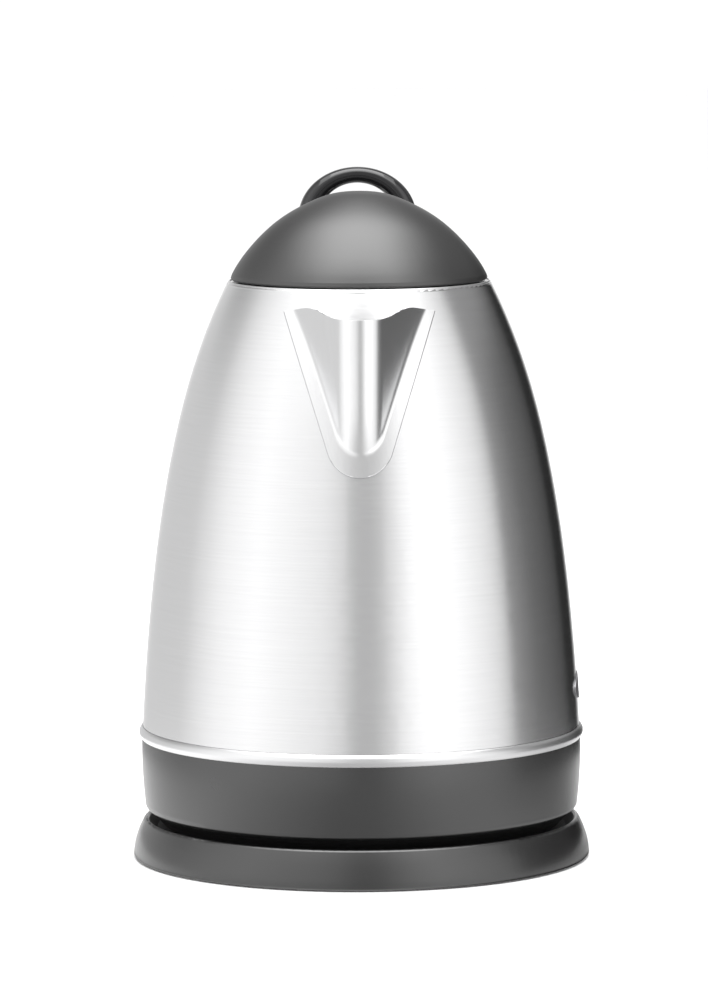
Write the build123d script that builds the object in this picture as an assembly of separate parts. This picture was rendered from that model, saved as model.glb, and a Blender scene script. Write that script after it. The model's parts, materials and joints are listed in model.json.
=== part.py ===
from build123d import *

import os
from math import atan2, cos, radians, sin

# Cordless electric kettle on its power base, built as an assembly of separate pieces.
#
# Frame, in millimetres: +Z is up, the origin is on the kettle's turning axis at table level, -Y is the
# spout side and +Y the handle side. The kettle stands on the base with its lid shut and its switch off.
# Every function after the helpers makes one piece, or one group of like pieces, where it sits in the
# assembly.

# ---- driving dimensions -------------------------------------------------------------------------

# Power base
BASE_R = 82.7  # widest radius, near the table
BASE_WIDE_Z = 1.6
BASE_EDGE_R = 79.1  # radius where the flare turns into the upper edge
BASE_EDGE_Z = 14.4
BASE_TOP_R = 77.7  # where the upper edge turns down into the drip dish
BASE_UNDER_Z = 0.5  # lower edge of the shell, above the table by the feet
BASE_UNDER_R = BASE_R - 0.8
PLATFORM_Z = 14.6  # raised platform that the kettle stands on
PLATFORM_R = 65.0
DISH_Z = 11.0  # floor of the drip dish round the platform
DISH_R = 74.0
BASE_WALL = 2.2
BASE_PLATE_TOP_Z = 2.6
DIAGONALS = (45, 135, 225, 315)  # degrees, the directions of the feet and the screws
FOOT_R = 6.0
FOOT_CIRCLE_R = 66.0
FOOT_H = 1.6
BASE_SCREW_CIRCLE_R = 52.0
BASE_SCREW_SEAT_Z = 1.7
BASE_SCREW_LENGTH = 8.6
GLAND_Z = 6.3
GLAND_R = 4.5
GLAND_BORE_R = 3.4
GLAND_INNER_Y = 77.6

# Round connector between base and kettle
TURRET_R = 14.3
TURRET_TOP_Z = 29.5
CUP_R = 18.3
CUP_CAVITY_R = 15.9
CUP_LOW_Z = 17.8
CUP_TOP_Z = 33.4
LIVE_PIN_R = 2.2
BLADE_R = 9.9
BLADE_SHEET = 0.7
BLADE_TOP_Z = 31.6

# Skirt, the black housing under the steel jug
SKIRT_TOP_Z = 43.7
SKIRT_LOW_Z = 17.3
SKIRT_R = 79.5
SKIRT_HEEL = ((78.4, 20.2), (77.7, 18.2), (76.2, SKIRT_LOW_Z))  # radius and height along its round
PLINTH_R = 72.0  # undercut ring below the skirt, which sits in the base's drip dish
PLINTH_LOW_Z = 12.6
PLINTH_WALL = 1.6
FLOOR_R = 68.8
FLOOR_HOLE_R = 21.0
FLOOR_SCREW_SEAT_Z = 18.3
FLOOR_SCREW_LENGTH = 10.5
STANDING_PAD_CIRCLE_R = 54.0
STUD_CIRCLE_R = 60.0  # welded studs under the jug, which the underside cover is screwed to
STUD_ANGLES = (30, 150, 270)
STUD_R = 3.2
HEATER_TOP_Z = 46.6  # the jug's floor
HEATER_SHEET = 0.8
ELEMENT_RING_R = 42.0
ELEMENT_TUBE_R = 3.3

# Steel jug. The outline is radius against height, from the rim band up to the mouth.
JUG_OUTLINE = ((79.15, 48.2), (75.65, 95.0), (68.3, 145.0), (57.5, 185.0), (47.75, 208.0))
JUG_WALL = 0.8
JUG_FOOT_R = 78.2  # straight foot that stands inside the rim band and the skirt
JUG_FOOT_Z = 38.5
MOUTH_R = 43.6
MOUTH_Z = 208.9
MOUTH_ROLL_R = 46.6  # where the flat lip turns down into the wall
BAND_R = 80.5

# Lid. The outline is radius against height, from its edge to its top.
LID_OUTLINE = ((45.85, 211.5), (39.03, 221.4), (27.46, 232.0), (14.14, 238.9), (0.0, 241.2))
LID_LOW_Z = 209.7
LID_WALL = 2.2
PLUG_R = 40.0
HINGE_Y = 53.5
HINGE_Z = 213.5
HINGE_PIN_R = 1.5
KNUCKLE_R = 3.6
KNUCKLE_X = 8.6  # half the length of the lid's knuckle
EAR_R = 4.2
EAR_X = (9.0, 13.0)
RUNNING_CLEARANCE = 0.08

# Finger loop on the back of the lid
LOOP_OUTER = (21.3, 18.3)
LOOP_INNER = (13.8, 12.9)
LOOP_CENTRE_Z = 229.6
LOOP_Y = 33.0
LOOP_DEPTH = 10.0
LOOP_LEAN = 8.0  # degrees, backwards
LOOP_SCREW_X = 17.4
LOOP_BOSS_Z = 217.0
LOOP_SCREW_TIP_Z = 229.5

# Handle, a C of rounded section that leaves the jug under the mouth and lands on the tail housing
HANDLE_CORNERS = ((50.0, 196.0), (103.0, 219.0), (131.0, 142.0), (94.5, 44.0))
HANDLE_BENDS = (38.0, 100.0)
HANDLE_W = 26.0
HANDLE_D = 18.0
HANDLE_ROUND = 6.5
COVER_SPLIT = -5.0  # parting line between shell and cover, from the middle of the section
HOLLOW_W = 21.0
HOLLOW_TOP = 6.5
TUBE_OFFSET = 2.5
TUBE_R = 2.6

# Tail housing with the switch, behind the skirt
TAIL_W = 36.0
TAIL_BACK_Y = 106.0
TAIL_LOW_Z = 19.0
TAIL_TOP_Z = 46.0
TAIL_WALL = 2.2
TAIL_ROUND = 3.0
SWITCH_Y = 95.0
SWITCH_Z = 32.0
SWITCH_TILT = 8.0  # degrees
SWITCH_PIN_R = 1.5
ROD_Z = 24.0
ROD_R = 1.5
ROD_BORE_R = ROD_R + 0.6
ROD_FRONT_Y = 24.5
STEAM_DISC_R = 7.0
STEAM_DISC_Y = 86.2
STEAM_DISC_Z = 34.6
LAMP_Z = 41.2
LAMP_R = 1.5
LENS_R = 1.85

# Spout. Each section is the same rounded V; its nose runs up along an arc.
SPOUT_NOSE_R = 8.0
SPOUT_HALF_ANGLE = 28.3  # degrees between a side wall and the middle plane
SPOUT_SHEET = 0.9
SPOUT_NOSE = ((66.2, 146.5), (74.1, 174.0), (78.6, 206.0))
FLANGE_TOP = (26.6, 201.6)
FLANGE_LOW_R = 11.7
FLANGE_LOW_Z = 144.8
FLANGE_SLOPE = 17.6  # degrees that its sides lean outwards
FLANGE_SHEET = 0.7
POUR_HOLE = ((16.5, 197.8), (3.2, 161.0))
STRAINER_HOLE_R = 1.25
STRAINER_PITCH = 3.8

# Plain oval plate on the right side of the jug
PLATE_Z = 62.0
PLATE_W = 30.5
PLATE_H = 9.2

# Fasteners and fits
SCREW_R = 1.5
SCREW_HEAD_R = 2.8
SCREW_HEAD_H = 0.8
SCREW_BOSS_R = 3.6
SCREW_HOLE_R = 1.6
SCREW_SEAT_R = 3.0
GAP = 0.05  # left between fixed curved faces that lie on each other

os.makedirs("parts", exist_ok=True)


# ---- helpers ------------------------------------------------------------------------------------


def at(radius, z):
    """A point of a turned section, drawn in the XZ plane."""
    return (radius, 0, z)


def turned(edges):
    """The solid made by turning a closed section about the kettle's axis."""
    return revolve(make_face(edges), Axis.Z)


def lathe(*points):
    """A turned solid whose section is a plain polygon of (radius, z) points."""
    return turned([Polyline(*(at(*p) for p in points), at(*points[0]))])


def disc(radius, low, high, hole=0.0, x=0.0, y=0.0):
    """A flat round disc or ring between two heights."""
    sketch = Circle(radius) - Circle(hole) if hole else Circle(radius)
    return Pos(x, y, low) * extrude(sketch, high - low)


def block(x, y, z):
    """A box given by its low and high value along each axis."""
    size = [high - low for low, high in (x, y, z)]
    middle = [(low + high) / 2 for low, high in (x, y, z)]
    return Pos(*middle) * Box(*size)


def rod_along(direction, radius, start, length):
    """A round rod from a start point along a direction."""
    plane = Plane(origin=start, z_dir=direction)
    return extrude(plane * Circle(radius), length)


def screw(head, direction, length):
    """A pan-head screw with a cross recess, from the middle of its head's outer face."""
    body = disc(SCREW_HEAD_R, 0, SCREW_HEAD_H) + disc(SCREW_R, 0, length)
    cross = Box(3.4, 0.7, 1.0) + Box(0.7, 3.4, 1.0)
    return Plane(origin=head, z_dir=direction) * (body - cross)


def on_circle(radius, angles):
    """The (x, y) places at these angles on a circle about the axis."""
    return [(radius * cos(radians(a)), radius * sin(radians(a))) for a in angles]


def save(node, shape):
    """Writes one node with only its closed solids."""
    solids = [s for s in shape.solids() if s.volume > 0.5]
    kept = solids[0] if len(solids) == 1 else Compound(children=solids)
    export_step(kept, f"parts/{node}.step")


# ---- outlines that several pieces share ---------------------------------------------------------


def jug_curve(shift=0.0):
    """The jug's outline, moved outwards by shift."""
    points = [at(r + shift, z) for r, z in JUG_OUTLINE]
    return Spline(*points, tangents=[(-0.05, 0, 1), (-0.5, 0, 1)])


def jug_solid(shift):
    """The whole jug as a filled solid, a little larger or smaller, to trim other pieces with."""
    low, high = JUG_OUTLINE[0][1], JUG_OUTLINE[-1][1]
    top_r = JUG_OUTLINE[-1][0] + shift
    foot_r = JUG_OUTLINE[0][0] + shift
    lines = Polyline(at(top_r, high), at(top_r, high + 2), at(0, high + 2), at(0, low - 12))
    foot = Polyline(at(0, low - 12), at(foot_r, low - 12), at(foot_r, low))
    return turned([jug_curve(shift), lines, foot])


def lid_curve(inwards=0.0):
    """The lid's outline, or the same curve a wall's thickness inside it."""
    edge_r = LID_OUTLINE[0][0]
    scale = (edge_r - inwards) / edge_r
    points = [at(r * scale, z - inwards * (1 - r / edge_r)) for r, z in LID_OUTLINE]
    return Spline(*points, tangents=[(-0.5, 0, 1), (-1, 0, 0)])


def lid_solid(inwards=0.0):
    """The lid's outer or inner shape as a filled solid, down to its slightly flared lower edge."""
    edge_r, edge_z = LID_OUTLINE[0][0] - inwards, LID_OUTLINE[0][1]
    top = at(0, LID_OUTLINE[-1][1] - inwards)
    rim = [at(edge_r + 0.1, LID_LOW_Z), at(edge_r + 0.4, LID_LOW_Z + 0.6), at(edge_r, edge_z)]
    return turned([lid_curve(inwards), Polyline(top, at(0, LID_LOW_Z), *rim)])


def handle_path():
    """The middle line of the handle, in the plane x = 0."""
    points = [(0, y, z) for y, z in HANDLE_CORNERS]
    return FilletPolyline(*points, radius=list(HANDLE_BENDS))


def handle_frame(corner, toward):
    """Origin and direction of a straight leg of the handle, as (y, z) pairs."""
    angle = atan2(toward[1] - corner[1], toward[0] - corner[0])
    return corner, (cos(angle), sin(angle))


UPPER_LEG = handle_frame(HANDLE_CORNERS[0], HANDLE_CORNERS[1])
LOWER_LEG = handle_frame(HANDLE_CORNERS[3], HANDLE_CORNERS[2])


def leg_box(leg, outward, x, s, n):
    """A box on a leg of the handle: s runs along the leg and n outwards from its middle line."""
    (y0, z0), (ay, az) = leg
    plane = Plane(origin=(0, y0, z0), x_dir=(1, 0, 0), z_dir=(0, ay, az))
    side = 1 if plane.y_dir.dot(Vector(0, *outward)) > 0 else -1
    low, high = sorted((side * n[0], side * n[1]))
    shape = block(x, (low, high), s)
    return plane * shape


def leg_point(leg, outward, s, n):
    """The point at distance s along a leg and n outwards, as (x, y, z)."""
    (y0, z0), (ay, az) = leg
    return (0, y0 + ay * s + outward[0] * n, z0 + az * s + outward[1] * n)


UPPER_OUT = (-UPPER_LEG[1][1], UPPER_LEG[1][0])
LOWER_OUT = (LOWER_LEG[1][1], -LOWER_LEG[1][0])
HANDLE_SCREWS = ((UPPER_LEG, UPPER_OUT, 21.0), (LOWER_LEG, LOWER_OUT, 13.0))  # leg, outwards, distance


def handle_sweep(sketch):
    """Sweeps a section drawn with +Y as outwards along the handle."""
    y0, z0 = UPPER_LEG[0]
    plane = Plane(origin=(0, y0, z0), x_dir=(-1, 0, 0), z_dir=(0, *UPPER_LEG[1]))
    return sweep(plane * sketch, path=handle_path())


def handle_trim(shape):
    """Ends a swept handle piece on the jug and on the tail housing."""
    above = block((-30, 30), (0, 160), (TAIL_TOP_Z + GAP, 260))
    return shape & above - jug_solid(GAP)


# ---- power base ---------------------------------------------------------------------------------


def base_flare():
    """The outside of the base, from its lower edge to the top of its upper edge."""
    low, wide = at(BASE_UNDER_R, BASE_UNDER_Z), at(BASE_R, BASE_WIDE_Z)
    edge, top = at(BASE_EDGE_R, BASE_EDGE_Z - 0.8), at(BASE_TOP_R, BASE_EDGE_Z)
    heel = ThreePointArc(low, at(BASE_R - 0.2, BASE_UNDER_Z + 0.3), wide)
    flare = ThreePointArc(wide, at(BASE_R - 1.2, 8.0), edge)
    shoulder = ThreePointArc(edge, at(BASE_EDGE_R - 0.6, BASE_EDGE_Z - 0.2), top)
    return [heel, flare, shoulder]


def gland_hole():
    """The hole for the cord gland through the rear wall of the base."""
    return rod_along((0, 1, 0), GLAND_R + GAP, (0, GLAND_INNER_Y - 0.1, GLAND_Z), 10)


def base_shell():
    """The flared upper shell with its drip dish, platform and screw bosses."""
    top = Polyline(
        at(BASE_TOP_R, BASE_EDGE_Z),
        at(DISH_R, DISH_Z),
        at(PLATFORM_R + 2, DISH_Z),
        at(PLATFORM_R, PLATFORM_Z),
        at(TURRET_R + 0.2, PLATFORM_Z),
        at(TURRET_R + 0.2, PLATFORM_Z - BASE_WALL),
        at(PLATFORM_R - 1.5, PLATFORM_Z - BASE_WALL),
        at(PLATFORM_R, DISH_Z - BASE_WALL),
        at(DISH_R + 1, DISH_Z - BASE_WALL),
        at(77.0, 10.6),
        at(79.6, 7.0),
        at(BASE_R - BASE_WALL, 3.0),
        at(BASE_R - BASE_WALL, BASE_UNDER_Z),
        at(BASE_UNDER_R, BASE_UNDER_Z),
    )
    shell = turned([*base_flare(), top])
    for x, y in on_circle(BASE_SCREW_CIRCLE_R, DIAGONALS):
        shell += disc(SCREW_BOSS_R, BASE_PLATE_TOP_Z + 0.1, PLATFORM_Z - BASE_WALL + 0.5, SCREW_R, x, y)
    return shell - gland_hole()


def base_plate():
    """The flat underside cover, with recesses for the feet and the screw heads."""
    plate = disc(BASE_R - BASE_WALL - 0.4, BASE_UNDER_Z, BASE_PLATE_TOP_Z)
    for x, y in foot_places():
        plate -= disc(FOOT_R, 0, FOOT_H, x=x, y=y)
    for x, y in on_circle(BASE_SCREW_CIRCLE_R, DIAGONALS):
        plate -= disc(SCREW_SEAT_R, 0, BASE_SCREW_SEAT_Z, x=x, y=y)
        plate -= disc(SCREW_HOLE_R, 0, BASE_PLATE_TOP_Z + 1, x=x, y=y)
    return plate - gland_hole()


def foot_places():
    """The middles of the feet: one under the connector and four round it."""
    return [(0, 0), *on_circle(FOOT_CIRCLE_R, DIAGONALS)]


def base_feet():
    """Five rubber pads."""
    return Compound(children=[disc(FOOT_R, 0, FOOT_H, x=x, y=y) for x, y in foot_places()])


def base_screws():
    """Four pan-head screws from the underside into the shell's bosses."""
    head_z = BASE_SCREW_SEAT_Z - SCREW_HEAD_H
    places = on_circle(BASE_SCREW_CIRCLE_R, DIAGONALS)
    return Compound(children=[screw((x, y, head_z), (0, 0, 1), BASE_SCREW_LENGTH) for x, y in places])


def base_turret():
    """The raised round connector in the middle of the base."""
    pillar = lathe(
        (0, 10.0), (19.0, 10.0), (19.0, 12.3), (TURRET_R, 12.3),
        (TURRET_R, TURRET_TOP_Z - 1.5), (TURRET_R - 1.5, TURRET_TOP_Z), (0, TURRET_TOP_Z),
    )
    pillar -= disc(3.15, 17.5, 40)
    pillar -= disc(10.8, 18.0, 40, 8.4)
    return pillar - disc(20, 22.0, 25.0, TURRET_R - 0.6)


def turret_contacts():
    """Brass contacts in the turret: live tube, neutral ring, earth ring and their solder tails."""
    live = disc(3.1, 18.0, 27.0, 2.5)
    neutral = disc(10.75, 18.4, 27.0, 10.15)
    earth = disc(TURRET_R + 0.4, 22.1, 24.9, TURRET_R - 0.55)
    tails = [block((x - 1.6, x + 1.6), (-0.4, 0.4), (4.2, 9.95)) for x in (-8, 0, 8)]
    return Compound(children=[live, neutral, earth, *tails])


def cord_gland():
    """The bush in the rear wall of the base, where a mains lead would go through."""
    bush = rod_along((0, 1, 0), GLAND_R, (0, GLAND_INNER_Y, GLAND_Z), 7.2)
    rest = Polyline(
        at(BASE_TOP_R, BASE_EDGE_Z), at(0, BASE_EDGE_Z), at(0, 0), at(BASE_UNDER_R, 0),
        at(BASE_UNDER_R, BASE_UNDER_Z),
    )
    inside_base = turned([*base_flare(), rest])
    flange = rod_along((0, 1, 0), 5.6, (0, 80, GLAND_Z), 4.8) - inside_base
    return bush + flange - rod_along((0, 1, 0), GLAND_BORE_R, (0, 70, GLAND_Z), 20)


# ---- connector cup of the kettle ----------------------------------------------------------------


def socket_cup():
    """The round cup under the kettle that drops over the turret."""
    cup = lathe(
        (CUP_CAVITY_R, CUP_LOW_Z), (20.4, CUP_LOW_Z), (20.4, 19.2), (CUP_R, 19.2),
        (CUP_R, CUP_TOP_Z), (0, CUP_TOP_Z), (0, 30.6), (CUP_CAVITY_R, 30.6),
    )
    cup -= disc(BLADE_R, 30, BLADE_TOP_Z, BLADE_R - BLADE_SHEET)
    return cup - disc(LIVE_PIN_R, 30, 40) - blade_tabs()


def blade_tabs():
    """The three short arcs of the neutral blade that come through the top of the cup."""
    ring = disc(BLADE_R, BLADE_TOP_Z - 0.2, CUP_TOP_Z, BLADE_R - BLADE_SHEET)
    wedges = [Rot(0, 0, a) * block((8, 11), (-2, 2), (30, 34)) for a in (30, 150, 270)]
    return ring & Compound(children=wedges)


def socket_pins():
    """Live pin, neutral blade ring and earth ring of the kettle."""
    live = disc(LIVE_PIN_R, 19.6, CUP_TOP_Z)
    neutral = disc(BLADE_R, 20.5, BLADE_TOP_Z, BLADE_R - BLADE_SHEET) + blade_tabs()
    earth = disc(CUP_CAVITY_R - GAP, 20.5, 30.5, TURRET_R + 0.8)
    return Compound(children=[live, neutral, earth])


# ---- lower part of the kettle -------------------------------------------------------------------


def skirt():
    """The black ring housing under the jug."""
    heel_top, heel_middle, heel_low = (at(*point) for point in SKIRT_HEEL)
    wall = ThreePointArc(at(SKIRT_R, SKIRT_TOP_Z), at(SKIRT_R - 0.1, 33.0), heel_top)
    heel = ThreePointArc(heel_top, heel_middle, heel_low)
    plinth_inner_r = FLOOR_R + 0.1
    channel_z = PLINTH_LOW_Z + PLINTH_WALL
    inside = Polyline(
        heel_low,
        at(PLINTH_R, PLINTH_LOW_Z),
        at(plinth_inner_r, PLINTH_LOW_Z),
        at(plinth_inner_r, 19.5),
        at(plinth_inner_r + PLINTH_WALL, 19.5),
        at(plinth_inner_r + PLINTH_WALL, channel_z),
        at(PLINTH_R - 0.8, channel_z),
        at(75.0, 18.4),
        at(76.6, 22.0),
        at(76.9, 38.3),
        at(78.3, 38.3),
        at(78.3, SKIRT_TOP_Z),
        at(SKIRT_R, SKIRT_TOP_Z),
    )
    ring = turned([wall, heel, inside])
    return ring - rod_along((0, 1, 0), ROD_BORE_R, (0, 70, ROD_Z), 20)


def skirt_floor():
    """The round underside cover, with three standing pads and screw holes."""
    plate = lathe(
        (FLOOR_HOLE_R, 17.4), (FLOOR_R, 17.4), (FLOOR_R, 19.6), (74.0, 19.6),
        (74.0, 21.4), (66.0, 21.4), (66.0, 19.4), (FLOOR_HOLE_R, 19.4),
    )
    for x, y in on_circle(STANDING_PAD_CIRCLE_R, (0, 120, 240)):
        plate += disc(4.0, PLATFORM_Z + 0.3, 17.6, x=x, y=y)
    for x, y in on_circle(STUD_CIRCLE_R, STUD_ANGLES):
        plate -= disc(SCREW_HOLE_R, 16, 22, x=x, y=y)
        plate -= disc(SCREW_SEAT_R, 16, FLOOR_SCREW_SEAT_Z, x=x, y=y)
    return plate


def floor_screws():
    """Three screws that hold the underside cover to the studs."""
    head_z = FLOOR_SCREW_SEAT_Z - SCREW_HEAD_H
    places = on_circle(STUD_CIRCLE_R, STUD_ANGLES)
    return Compound(children=[screw((x, y, head_z), (0, 0, 1), FLOOR_SCREW_LENGTH) for x, y in places])


def rim_band():
    """The steel trim band round the foot of the jug."""
    inner_r = JUG_FOOT_R + GAP
    bead = ThreePointArc(at(79.7, 43.8), at(BAND_R, 45.8), at(79.3, 48.1))
    inside = Polyline(at(79.3, 48.1), at(inner_r, 47.45), at(inner_r, 43.8), at(79.7, 43.8))
    return turned([bead, inside])


def heater_plate():
    """The steel floor of the jug, with three welded studs."""
    outer_r = JUG_FOOT_R - JUG_WALL - GAP
    inner_r = outer_r - HEATER_SHEET
    low_z = JUG_FOOT_Z + 1
    under_z = HEATER_TOP_Z - HEATER_SHEET
    plate = lathe(
        (0, HEATER_TOP_Z), (outer_r, HEATER_TOP_Z), (outer_r, low_z), (inner_r, low_z), (inner_r, under_z),
        (0, under_z),
    )
    for x, y in on_circle(STUD_CIRCLE_R, STUD_ANGLES):
        plate += disc(STUD_R, 19.5, under_z + 0.2, x=x, y=y) - disc(SCREW_R, 19, 28, x=x, y=y)
    return plate


def heat_spreader():
    """The aluminium disc brazed under the jug's floor."""
    return disc(54.0, HEATER_TOP_Z - 3.3, HEATER_TOP_Z - HEATER_SHEET - GAP)


def heating_element():
    """The sheathed element, an open ring whose two ends turn down to the control."""
    middle_z = HEATER_TOP_Z - 3.4 - ELEMENT_TUBE_R
    circle = Plane.XZ * (Pos(ELEMENT_RING_R, middle_z) * Circle(ELEMENT_TUBE_R))
    ring = revolve(circle, Axis.Z, 310)
    for x, y in on_circle(ELEMENT_RING_R, (0, 310)):
        ring += Pos(x, y, middle_z) * Sphere(ELEMENT_TUBE_R)
        ring += disc(ELEMENT_TUBE_R, 31.0, middle_z, x=x, y=y)
        ring += disc(1.1, 25.5, 32.0, x=x, y=y)
    return ring


def control_housing():
    """The switch and thermostat block round the connector cup."""
    body = disc(23.0, 21.9, 37.0) - disc(CUP_R + 0.3, 20, CUP_TOP_Z + 0.4)
    arms = block((-31, 31), (-5, 5), (34.0, 37.0)) + block((-5, 5), (-31, 0), (34.0, 37.0))
    posts = disc(4.5, 36.5, 41.8, x=15) + disc(4.5, 36.5, 41.8, x=-15)
    return body + arms + posts - rod_along((0, -1, 0), ROD_BORE_R, (0, ROD_FRONT_Y + 0.5, ROD_Z), 3.6)


def bimetal_discs():
    """The two snap discs that cut the power if the kettle boils dry."""
    return Compound(children=[disc(6.5, 41.9, 42.5, x=x) for x in (-15, 15)])


# ---- steel jug ----------------------------------------------------------------------------------


def pour_prism():
    """The shape of the pour hole, seen from the front."""
    (top_x, top_z), (low_x, low_z) = POUR_HOLE
    outline = Polyline(
        (top_x, 0, top_z), (-top_x, 0, top_z), (-low_x, 0, low_z), (low_x, 0, low_z), (top_x, 0, top_z)
    )
    return extrude(make_face(outline), 100, dir=(0, -1, 0))


def jug():
    """The steel jug with its rolled mouth, pour hole and steam hole."""
    low_r, low_z = JUG_OUTLINE[0]
    top_r, top_z = JUG_OUTLINE[-1]
    foot_in = JUG_FOOT_R - JUG_WALL
    roll = ThreePointArc(at(top_r, top_z), at(top_r - 0.35, MOUTH_Z - 0.25), at(MOUTH_ROLL_R, MOUTH_Z))
    mouth = Polyline(
        at(MOUTH_ROLL_R, MOUTH_Z), at(MOUTH_R, MOUTH_Z), at(MOUTH_R, MOUTH_Z - JUG_WALL),
        at(MOUTH_ROLL_R - 0.1, MOUTH_Z - JUG_WALL), at(top_r - JUG_WALL, top_z),
    )
    foot = Polyline(
        at(low_r - JUG_WALL, low_z), at(foot_in, low_z - 0.6), at(foot_in, JUG_FOOT_Z),
        at(JUG_FOOT_R, JUG_FOOT_Z), at(JUG_FOOT_R, low_z - 0.6), at(low_r, low_z),
    )
    shell = turned([jug_curve(), roll, mouth, jug_curve(-JUG_WALL), foot])
    start = leg_point(UPPER_LEG, UPPER_OUT, -8, TUBE_OFFSET)
    steam_hole = rod_along((0, *UPPER_LEG[1]), TUBE_R - 0.4, start, 20)
    return shell - pour_prism() - steam_hole


def nose_y(z):
    """How far forward the spout's nose is at a height, on an arc through three points."""
    (r0, z0), (r1, z1), (r2, z2) = SPOUT_NOSE
    t0 = (z - z1) * (z - z2) / ((z0 - z1) * (z0 - z2))
    t1 = (z - z0) * (z - z2) / ((z1 - z0) * (z1 - z2))
    t2 = (z - z0) * (z - z1) / ((z2 - z0) * (z2 - z1))
    return -(r0 * t0 + r1 * t1 + r2 * t2)


def spout_section(z, inwards):
    """The rounded V at a height, with its walls moved inwards by a sheet's thickness or not."""
    half = radians(SPOUT_HALF_ANGLE)
    radius = SPOUT_NOSE_R - inwards
    centre_y = nose_y(z) + SPOUT_NOSE_R
    touch_x, touch_y = radius * cos(half), centre_y - radius * sin(half)
    back_y = -30.0
    back_x = touch_x + (back_y - touch_y) * sin(half) / cos(half)
    nose = ThreePointArc((-touch_x, touch_y, z), (0, centre_y - radius, z), (touch_x, touch_y, z))
    sides = Polyline(
        (touch_x, touch_y, z), (back_x, back_y, z), (-back_x, back_y, z), (-touch_x, touch_y, z)
    )
    return make_face([nose, sides])


def spout_wedge(inwards):
    """The filled beak, from below its tip to above its lip."""
    heights = (146.5, 160.0, 174.0, 190.0, 206.0)
    return loft([spout_section(z, inwards) for z in heights])


def flange_prism():
    """The outline of the spout's flange, seen from the front: a V with a round bottom."""
    top_x, top_z = FLANGE_TOP
    low = FLANGE_LOW_Z
    side_z = low + FLANGE_LOW_R * (1 - sin(radians(FLANGE_SLOPE)))
    side_x = FLANGE_LOW_R * cos(radians(FLANGE_SLOPE))
    arc = ThreePointArc((-side_x, 0, side_z), (0, 0, low), (side_x, 0, side_z))
    lines = Polyline(
        (side_x, 0, side_z), (top_x, 0, top_z), (top_x, 0, 210), (-top_x, 0, 210),
        (-top_x, 0, top_z), (-side_x, 0, side_z),
    )
    return extrude(make_face([arc, lines]), 100, dir=(0, -1, 0))


def lip_cutter():
    """Everything above the spout's wavy lip."""
    lip = Spline(
        (-30, 0, 200.9), (-22.6, 0, 202.0), (-17.3, 0, 203.4), (-8.5, 0, 201.7), (0, 0, 201.0),
        (8.5, 0, 201.7), (17.3, 0, 203.4), (22.6, 0, 202.0), (30, 0, 200.9),
    )
    lines = Polyline((30, 0, 200.9), (30, 0, 230), (-30, 0, 230), (-30, 0, 200.9))
    return extrude(make_face([lip, lines]), 100, dir=(0, -1, 0))


def spout():
    """The pressed beak and its flange, welded over the pour hole."""
    jug_outside = jug_solid(GAP)
    skin = (jug_solid(GAP + FLANGE_SHEET) - jug_outside) & flange_prism()
    beak = spout_wedge(0) - jug_outside
    inside = spout_wedge(SPOUT_SHEET)
    return (skin + beak) - inside - lip_cutter()


def spout_strainer():
    """The perforated steel panel behind the pour hole."""
    (top_x, top_z), (low_x, low_z) = POUR_HOLE
    panel = jug_solid(-JUG_WALL - 0.1) - jug_solid(-JUG_WALL - 0.9)
    outline = Polyline(
        (top_x + 3, 0, top_z + 3), (-top_x - 3, 0, top_z + 3), (-low_x - 3, 0, low_z - 3),
        (low_x + 3, 0, low_z - 3), (top_x + 3, 0, top_z + 3),
    )
    panel &= extrude(make_face(outline), 100, dir=(0, -1, 0))
    holes = []
    for row in range(int((top_z - low_z - 2) / STRAINER_PITCH)):
        z = low_z + 4 + row * STRAINER_PITCH
        room = low_x + (top_x - low_x) * (z - low_z) / (top_z - low_z) - 1.0
        count = int(room / STRAINER_PITCH)
        for column in range(-count, count + 1):
            holes.append(rod_along((0, -1, 0), STRAINER_HOLE_R, (column * STRAINER_PITCH, -30, z), 60))
    return panel - Compound(children=holes)


def side_plate():
    """A plain oval plate on the right side of the jug."""
    skin = jug_solid(GAP + 0.45) - jug_solid(GAP)
    side = Plane(origin=(60, 0, PLATE_Z), x_dir=(0, 1, 0), z_dir=(1, 0, 0))
    return skin & extrude(side * Ellipse(PLATE_W / 2, PLATE_H / 2), 40)


def mouth_collar():
    """The plastic ring inside the mouth that the lid's seal closes on."""
    under_lip = MOUTH_Z - JUG_WALL - 0.1
    inner_r, outer_r, flange_r = MOUTH_R - 1.3, MOUTH_R - 0.1, MOUTH_R + 2.2
    return lathe(
        (inner_r, under_lip - 4.5), (outer_r, under_lip - 4.5), (outer_r, under_lip - 1.5),
        (flange_r, under_lip - 1.5), (flange_r, under_lip), (outer_r, under_lip),
        (outer_r, MOUTH_Z + 0.2), (inner_r, MOUTH_Z + 0.2),
    )


# ---- handle -------------------------------------------------------------------------------------


def handle_section(low, high):
    """The rounded section of the handle between two distances outwards from its middle."""
    return RectangleRounded(HANDLE_W, HANDLE_D, HANDLE_ROUND) & (
        Pos(0, (low + high) / 2) * Rectangle(HANDLE_W + 2, high - low)
    )


def hinge_ears():
    """Two ears that hold the ends of the lid's hinge pin."""
    ears = None
    for low, high in ((-EAR_X[1], -EAR_X[0]), EAR_X):
        ear = block((low, high), (HINGE_Y - EAR_R, HINGE_Y + EAR_R), (200.0, HINGE_Z))
        ear += rod_along((1, 0, 0), EAR_R, (low, HINGE_Y, HINGE_Z), high - low)
        ears = ear if ears is None else ears + ear
    return ears


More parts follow.
